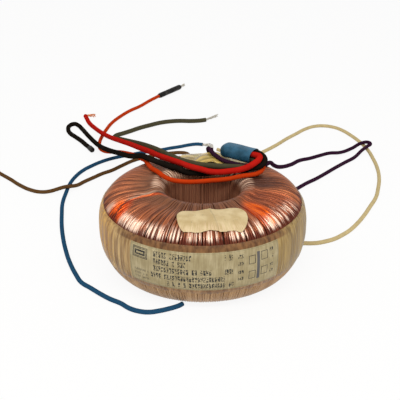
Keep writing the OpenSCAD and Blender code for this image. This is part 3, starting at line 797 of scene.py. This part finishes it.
BAND_LOW, BAND_HIGH = 0.0095, 0.0324
BAND_LIFT, RIDGE_LIFT, EDGE_TUCK = 0.00022, 0.00016, 0.0004
RIDGES, FRAY_STEPS, FRAY_EVERY = 200, 720, 4
chance = np.random.default_rng(5)
ridge_heights = chance.uniform(0.2, 1.0, RIDGES)
frays = chance.uniform(-0.0007, 0.0003, FRAY_STEPS // FRAY_EVERY)
frayed = np.interp(np.arange(FRAY_STEPS), np.arange(0, FRAY_STEPS, FRAY_EVERY), frays)


def band_place(u, v):
    """A place on the band: u once round from the right, v from its lower to its upper edge."""
    angle = 2 * math.pi * u
    fray = frayed[int(round(u * FRAY_STEPS)) % FRAY_STEPS] * (1 - v) ** 3
    z = BAND_LOW + (BAND_HIGH - BAND_LOW) * v + fray
    wave = math.sin(math.pi * (u * RIDGES % 1.0)) ** 2
    ridge = ridge_heights[int(u * RIDGES) % RIDGES] * wave
    tuck = EDGE_TUCK if v in (0.0, 1.0) else 0.0
    r = side_radius(z) + BAND_LIFT + RIDGE_LIFT * ridge - tuck
    return (r * math.cos(angle), r * math.sin(angle), z)


def band_tape():
    """Yellowed tape, streaked upwards, amber at the left and khaki at the right."""
    tape = Finish("band tape", Specular_IOR_Level=0.25, Coat_Weight=0.1, Coat_Roughness=0.2)
    x, y, z = (tape.place.part(axis) for axis in range(3))
    drawn_out = tape.place.make("ShaderNodeCombineXYZ", None, {0: x, 1: y, 2: z * 0.06})
    streak = drawn_out.noise(520.0, 4.0).rise(0.3, 0.7)
    fine = drawn_out.noise(1300.0, 2.0).rise(0.3, 0.75)
    front = y.fall(-0.036, -0.024)
    tan = streak.tint((0.25, 0.135, 0.04, 1.0), (0.66, 0.45, 0.2, 1.0))
    amber = streak.tint((0.36, 0.15, 0.015, 1.0), (0.74, 0.42, 0.07, 1.0))
    brown = streak.tint((0.09, 0.033, 0.008, 1.0), (0.27, 0.125, 0.042, 1.0))
    khaki = streak.tint((0.22, 0.135, 0.035, 1.0), (0.48, 0.33, 0.12, 1.0))
    lower = streak.tint((0.2, 0.095, 0.035, 1.0), (0.46, 0.27, 0.13, 1.0))
    colour = coated(
        tan,
        (x.fall(-0.045, -0.036), amber),
        (x.rise(0.026, 0.034), khaki),
        (z.rise(0.0293, 0.0303) * front, brown),
        (z.fall(0.0112, 0.0125) * front, lower),
        (fine * 0.4, (0.15, 0.075, 0.03, 1.0)),
    )
    tape.feed(
        Base_Color=colour,
        Roughness=0.3 + 0.2 * streak,
        Normal=drawn_out.noise(1500.0, 3.0).bump(0.35, 0.0003),
    )
    return tape.material


side_band = skin("side_band_tape", band_place, 1440, 18, band_tape())
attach(side_band, "root")
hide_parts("side_band")


# ---------------------------------------------------------------- the rating label
# A printed paper label stuck on the front of the band. Its print is generic: a framed box,
# rows of strokes with the density of type, and a plain winding diagram.
LABEL_LOW, LABEL_HIGH = 0.0119, 0.0299
LABEL_START, LABEL_ANGLE = math.radians(-130.0), math.radians(82.5)
LABEL_LIFT, LABEL_RIPPLE, LABEL_THICK = 0.00045, 0.00004, 0.00012
LABEL_SHAPE = 3.7  # about how many times its height it is long


def label_place(u, v):
    """A place on the label: u from left to right, v from its lower to its upper edge."""
    angle = LABEL_START + LABEL_ANGLE * u
    z = LABEL_LOW + (LABEL_HIGH - LABEL_LOW) * v
    r = side_radius(z) + LABEL_LIFT + LABEL_RIPPLE * math.sin(260 * angle)
    return (r * math.cos(angle), r * math.sin(angle), z)


def printed_label():
    """Aged paper under a print laid out by shares of the label's width and height."""
    paper = Finish("rating label", Specular_IOR_Level=0.2, Roughness=0.42)
    u, v = paper.uv.part(0), paper.uv.part(1)

    def box(left, right, low, high):
        """1 inside a rectangle and 0 outside it."""
        return u.within(left, right) * v.within(low, high)

    def frame_line(left, right, low, high, line):
        """A rectangle's outline, line wide, in shares of a label far longer than it is tall."""
        tall = line * LABEL_SHAPE
        return box(left, right, low, high) - box(
            left + line, right - line, low + tall, high - tall
        )

    def type_row(left, right, middle, height, width=0.0155):
        """Strokes with the density of type between two ends of a row."""
        across, up = u / (width / 4), (v - middle) / (height / 5)
        cell = u.make(
            "ShaderNodeCombineXYZ",
            None,
            {0: across.math("FLOOR"), 1: up.math("FLOOR"), 2: middle * 37.0},
        )
        dots = cell.make("ShaderNodeTexWhiteNoise", {"noise_dimensions": "3D"}, {0: cell})
        inked = dots.math("GREATER_THAN", 0.33)
        letter = u / width
        body = letter.math("FRACT").math("LESS_THAN", 0.76)
        chosen = letter.make(
            "ShaderNodeTexWhiteNoise",
            {"noise_dimensions": "1D"},
            {"W": letter.math("FLOOR") + middle * 91.0},
        )
        word = chosen.math("GREATER_THAN", 0.14)
        return inked * body * word * box(left, right, middle - height / 2, middle + height / 2)

    ink = frame_line(0.022, 0.132, 0.66, 0.93, 0.005)
    ink = ink + frame_line(0.03, 0.124, 0.69, 0.9, 0.004)
    ink = ink + frame_line(0.039, 0.115, 0.73, 0.86, 0.012)
    for left, right, middle in (
        (0.17, 0.42, 0.86), (0.17, 0.38, 0.68), (0.17, 0.54, 0.5), (0.155, 0.62, 0.31),
        (0.26, 0.68, 0.13), (0.62, 0.67, 0.86), (0.62, 0.67, 0.5),
    ):
        ink = ink + type_row(left, right, middle, 0.14, 0.0175)
    for middle in (0.34, 0.24, 0.14):
        ink = ink + type_row(0.035, 0.14, middle, 0.06, 0.011) * 0.7
    for middle in (0.84, 0.66, 0.44, 0.26):
        ink = ink + type_row(0.705, 0.74, middle, 0.09) + type_row(0.925, 0.955, middle, 0.09)
    for low in (0.2, 0.6):
        ink = ink + frame_line(0.775, 0.822, low, low + 0.22, 0.004)
        ink = ink + frame_line(0.862, 0.91, low + 0.04, low + 0.26, 0.004)
    core_bar = box(0.832, 0.852, 0.16, 0.88)
    rule = frame_line(0.006, 0.994, 0.02, 0.98, 0.0022)

    blotch = paper.place.noise(240.0, 3.0).rise(0.3, 0.75)
    upright = paper.uv.make(
        "ShaderNodeMapping", None, {"Vector": paper.uv, "Scale": (1.0, 0.03, 1.0)}
    )
    stain = upright.noise(90.0, 3.0).rise(0.3, 0.7)
    worn = paper.place.noise(1100.0, 3.0).rise(0.32, 0.6)
    colour = coated(
        blotch.tint((0.4, 0.33, 0.18, 1.0), (0.54, 0.46, 0.28, 1.0)),
        (stain * 0.5, (0.24, 0.18, 0.085, 1.0)),
        (ink.math("MINIMUM", 1.0) * (0.75 + 0.25 * worn), (0.02, 0.022, 0.024, 1.0)),
        (core_bar * 0.85, (0.07, 0.075, 0.1, 1.0)),
        (rule * 0.55, (0.12, 0.12, 0.07, 1.0)),
    )
    paper.feed(Base_Color=colour, Normal=paper.place.noise(600.0, 2.0).bump(0.15, 0.0002))
    return paper.material


rating_label = thickened(
    skin("paper_rating_label", label_place, 160, 18, printed_label()), LABEL_THICK
)
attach(rating_label, "root")
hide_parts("rating_label")


# ---------------------------------------------------------------- the sticker on the crown
# A soft cream paper sticker pressed over the turns at the front. It is creased across, its corners
# are dog-eared, its lower edge follows the wires, and painted highlight streaks lie along that
# edge.
STICKER_CORNERS = [(-11.0, -27.6), (17.4, -23.6), (17.6, -39.7), (-8.9, -41.8)]
STICKER_LIFT, STICKER_RIPPLE, STICKER_THICK = 0.00022, 0.00008, 0.0001
CREASE_HEIGHT, CREASE_SLANT = 0.0003, 0.09


def sticker_place(u, v):
    """A place on the sticker: u from left to right, v from its outer to its inner edge."""
    far_left, far_right, near_right, near_left = (Vector(c) / 1000 for c in STICKER_CORNERS)
    far, near = far_left.lerp(far_right, u), near_left.lerp(near_right, u)
    flat = near.lerp(far, v)
    # The short sides bulge, the long ones wave, and the corners are drawn in.
    bulge = math.sin(math.pi * v) * (0.0016 * u**4 + 0.0007 * (1 - u) ** 6)
    ends = math.copysign(abs(2 * u - 1) ** 10, 2 * u - 1)
    flat.x += bulge * (1 if u > 0.5 else -1) - 0.0009 * ends * abs(2 * v - 1) ** 6
    flat.y += 0.0004 * math.sin(17 * u) * (2 * v - 1) ** 4
    flat.y -= 0.001 * (2 * v - 1) * abs(2 * u - 1) ** 10
    r = flat.length
    crease = CREASE_HEIGHT * math.exp(-(((u - 0.54) - CREASE_SLANT * (0.5 - v)) / 0.02) ** 2)
    wave = math.sin(100 * math.atan2(flat.y, flat.x)) * (1 - v)
    lie = STICKER_LIFT + STICKER_RIPPLE * wave
    return (flat.x, flat.y, crown_height(r) + lie + crease)


def sticker_paper():
    """Cream paper with two faint rows of smudges, and painted highlight streaks at its outer edge.
    """
    paper = Finish("sticker paper", Roughness=0.5, Coat_Weight=0.12, Coat_Roughness=0.35)
    u, v = paper.uv.part(0), paper.uv.part(1)
    x, y = paper.place.part(0), paper.place.part(1)
    around = y.math("ARCTAN2", x)
    # Painted highlight: pale streaks along the wires near the outer edge, where the shoulder
    # catches light.
    highlight_stripes = paper.place.make("ShaderNodeCombineXYZ", None, {0: around * 14.0, 1: v * 0.3})
    painted_highlights = highlight_stripes.noise(7.0, 3.0).rise(0.42, 0.62) * v.fall(0.02, 0.42)
    blotch = paper.place.noise(200.0, 4.0).rise(0.3, 0.75)
    marks = paper.place.make("ShaderNodeCombineXYZ", None, {0: u * 44.0, 1: v * 9.0})
    rows = v.within(0.3, 0.42).math("MAXIMUM", v.within(0.62, 0.74))
    smudge = marks.noise(1.0, 2.0).rise(0.6, 0.72) * rows * u.within(0.14, 0.9)
    crease = (u + (v - 0.5) * CREASE_SLANT).within(0.53, 0.548)
    colour = coated(
        blotch.tint((0.52, 0.38, 0.17, 1.0), (0.7, 0.56, 0.31, 1.0)),
        (smudge * 0.4, (0.2, 0.19, 0.12, 1.0)),
        (crease * 0.35, (0.3, 0.25, 0.12, 1.0)),
        (painted_highlights * 0.5, (0.95, 0.72, 0.5, 1.0)),
    )
    paper.feed(Base_Color=colour, Normal=paper.place.noise(420.0, 3.0).bump(0.3, 0.0004))
    return paper.material


sticker = thickened(
    skin("crown_sticker", sticker_place, 120, 60, sticker_paper()), STICKER_THICK
)
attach(sticker, "root")
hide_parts("top_sticker")


# ---------------------------------------------------------------- the tape over the joints
# Olive polyester tape wrapped over the soldered joints between the winding ends and the
# thick leads. It makes a lump on the crown behind the hole, wrinkled and glossy.
TAPE_MIDDLE, TAPE_TURN = Vector((0.005, 0.030)), math.radians(-8.0)
TAPE_HALF = Vector((0.016, 0.010))
LUMP_MIDDLE, LUMP_R, LUMP_TOP = Vector((0.005, 0.0265)), 0.014, 0.0426
TAPE_LIFT, TAPE_WRINKLE, TAPE_THICK = 0.0004, 0.00012, 0.0003


def tape_place(u, v):
    """A place on the tape: u from left to right, v from the hole outwards."""
    across, out = 2 * u - 1, 2 * v - 1
    squeeze = 1 - 0.06 * abs(across * out) ** 3
    local = Vector((across * TAPE_HALF.x, out * TAPE_HALF.y)) * squeeze
    local.y += 0.0006 * math.sin(9 * across + 1.3) * abs(out) ** 3
    local.rotate(Matrix.Rotation(TAPE_TURN, 2))
    flat = TAPE_MIDDLE + local
    away = (flat - LUMP_MIDDLE).length
    surface = crown_height(flat.length)
    # The joints under the tape are a dome that is pressed flat at its top.
    lump = LUMP_TOP + TAPE_LIFT - LUMP_R + math.sqrt(max(0.0, LUMP_R**2 - away**2))
    over = max(0.0, min(LUMP_TOP, lump) - surface - TAPE_LIFT)
    wave = math.sin(900 * (flat.x + 0.6 * flat.y)) * math.sin(520 * flat.y)
    wrinkle = TAPE_WRINKLE * wave * (1 - 0.5 * abs(out))
    return (flat.x, flat.y, surface + TAPE_LIFT + over + wrinkle)


def olive_tape():
    """Glossy olive film with painted shade in patches for its folds, the folds running from side
    to side.
    """
    tape = Finish("olive tape", Specular_IOR_Level=0.25, Coat_Weight=0.2, Coat_Roughness=0.1)
    fold = tape.place.make(
        "ShaderNodeVectorMath", {"operation": "MULTIPLY"}, {0: tape.place, 1: (1.0, 2.6, 1.0)}
    )
    # Painted shade: the darker patches stand for the shade in the tape's folds.
    patch = fold.noise(120.0, 4.0).rise(0.3, 0.7)
    green = fold.noise(75.0, 2.0).rise(0.55, 0.72)
    colour = coated(
        patch.tint((0.22, 0.14, 0.02, 1.0), (0.85, 0.62, 0.18, 1.0)),
        (green * 0.6, (0.19, 0.2, 0.03, 1.0)),
    )
    tape.feed(
        Base_Color=colour,
        Roughness=0.16 + 0.2 * patch,
        Normal=fold.noise(260.0, 3.0).bump(0.6, 0.0008),
    )
    return tape.material


exit_tape = thickened(skin("joint_tape", tape_place, 96, 64, olive_tape()), TAPE_THICK)
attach(exit_tape, "root")
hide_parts("lead_exit_tape")


# ---------------------------------------------------------------- the blue sleeve
# A length of wide blue heat-shrink over the four secondary leads where they leave the tape.
# It is pressed flat, folded under at its closed end, and open at the mouth.
MOUTH = Vector((0.0243, 0.0174, 0.0458))
SLEEVE_HEADING = math.radians(-33.0)
SLEEVE_LENGTH, SLEEVE_WIDTH, SLEEVE_HEIGHT, SLEEVE_WALL = 0.0178, 0.0092, 0.0064, 0.0004
# The shares of v spent on the outside, and of the outside spent on its closed end.
OUTSIDE, CLOSED_END, LINED_DEPTH = 0.86, 0.18, 0.0025


def sleeve_place(u, v):
    """A place on the sleeve: u once round it, v from its closed end to the mouth and inside."""
    turn = 2 * math.pi * u
    if v < OUTSIDE:
        along = v / OUTSIDE
        nose = 1 - (1 - min(1.0, along / CLOSED_END)) ** 2.2
        back, inset = SLEEVE_LENGTH * (1 - along), 0.0
    else:
        inside = (v - OUTSIDE) / (1 - OUTSIDE)
        back, inset, nose = LINED_DEPTH * inside, SLEEVE_WALL * min(1.0, inside * 4), 1.0
    spread = max(0.02, nose) ** 0.5
    half_width = (SLEEVE_WIDTH / 2 - inset) * spread
    half_height = (SLEEVE_HEIGHT / 2 - inset) * spread * (1 - 0.12 * (1 - nose))
    c, s = math.cos(turn), math.sin(turn)
    across = half_width * math.copysign(abs(c) ** 0.75, c)
    up = half_height * math.copysign(abs(s) ** 0.8, s)
    pucker = 1 + 0.018 * math.sin(3 * turn + 500 * back) * (1 if v < OUTSIDE - 0.02 else 0)
    ahead = Vector((math.cos(SLEEVE_HEADING), math.sin(SLEEVE_HEADING), 0.0))
    aside = Vector((-ahead.y, ahead.x, 0.0))
    return tuple(MOUTH - back * ahead + across * pucker * aside + up * pucker * UP)


def blue_sleeve():
    """Blue heat-shrink, mottled, puckered and with painted shade inside its mouth."""
    tube = Finish("blue sleeve", Specular_IOR_Level=0.15, Coat_Weight=0.1, Coat_Roughness=0.12)
    patch = tube.place.noise(150.0, 3.0).rise(0.3, 0.7)
    # Painted shade darkens the lining inside the mouth.
    inner = tube.uv.part(1).rise(OUTSIDE + 0.01, OUTSIDE + 0.04)
    colour = coated(
        patch.tint((0.008, 0.05, 0.085, 1.0), (0.035, 0.14, 0.24, 1.0)),
        (inner * 0.9, (0.006, 0.012, 0.02, 1.0)),
    )
    tube.feed(Base_Color=colour, Normal=tube.place.noise(380.0, 3.0).bump(0.5, 0.0006))
    return tube.material


sleeve = skin("secondary_sleeve", sleeve_place, 64, 90, blue_sleeve())
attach(sleeve, "root")
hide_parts("lead_sleeve")


# ---------------------------------------------------------------- floor and light
# A white bench that keeps only the ring's soft shadow, under an overcast white room and one
# wide lamp overhead, towards the front, which draws the streaks on the shoulder.
def white_room(tree, share, surface):
    """Mixes this share of plain white into what the camera and reflections see."""
    path = tree.nodes.new("ShaderNodeLightPath")
    seen = Term(tree, path.outputs["Is Camera Ray"])
    for kind in ("Is Glossy Ray", "Is Transmission Ray"):
        seen = seen.math("MAXIMUM", Term(tree, path.outputs[kind]))
    glow = seen.make(
        "ShaderNodeEmission", None, {"Color": (1.0, 1.0, 1.0, 1.0), "Strength": 1.0}
    )
    return seen.make("ShaderNodeMixShader", None, {0: seen * share, 1: surface, 2: glow})


bench_finish = bpy.data.materials.new("white bench")
bench_finish.use_nodes = True
bench_tree = bench_finish.node_tree
paint = Term(bench_tree, bench_tree.nodes["Principled BSDF"].outputs[0])
paint.socket.node.inputs["Base Color"].default_value = (0.95, 0.95, 0.95, 1.0)
paint.socket.node.inputs["Roughness"].default_value = 0.9
bench_top = white_room(bench_tree, 0.9, paint)
bench_tree.links.new(bench_top.socket, bench_tree.nodes["Material Output"].inputs["Surface"])
BENCH_REACH = 4.0
bench_corners = [
    (BENCH_REACH * right, BENCH_REACH * back, 0.0)
    for right, back in ((-1, -1), (1, -1), (1, 1), (-1, 1))
]
bench_mesh = bpy.data.meshes.new("bench")
bench_mesh.from_pydata(bench_corners, [], [(0, 1, 2, 3)])
bench = shown("bench", bench_mesh, bench_finish)

room = bpy.data.worlds.new("room")
room.use_nodes = True
scene.world = room
dim = Term(room.node_tree, room.node_tree.nodes["Background"].outputs[0])
dim.socket.node.inputs["Color"].default_value = (1.0, 0.99, 0.97, 1.0)
dim.socket.node.inputs["Strength"].default_value = 0.6
walls = white_room(room.node_tree, 1.0, dim)
room.node_tree.links.new(walls.socket, room.node_tree.nodes["World Output"].inputs["Surface"])

SOFTBOX_PLACE = Vector((0.0, -0.32, 0.56))
softbox_data = bpy.data.lights.new("softbox", "AREA")
softbox_data.shape = "RECTANGLE"
softbox_data.size = 0.9
softbox_data.size_y = 0.07
softbox_data.energy = 2.4
softbox_data.color = (1.0, 0.96, 0.9)
softbox = bpy.data.objects.new("softbox", softbox_data)
softbox.location = SOFTBOX_PLACE
softbox.rotation_euler = SOFTBOX_PLACE.to_track_quat("Z", "Y").to_euler()
scene.collection.objects.link(softbox)
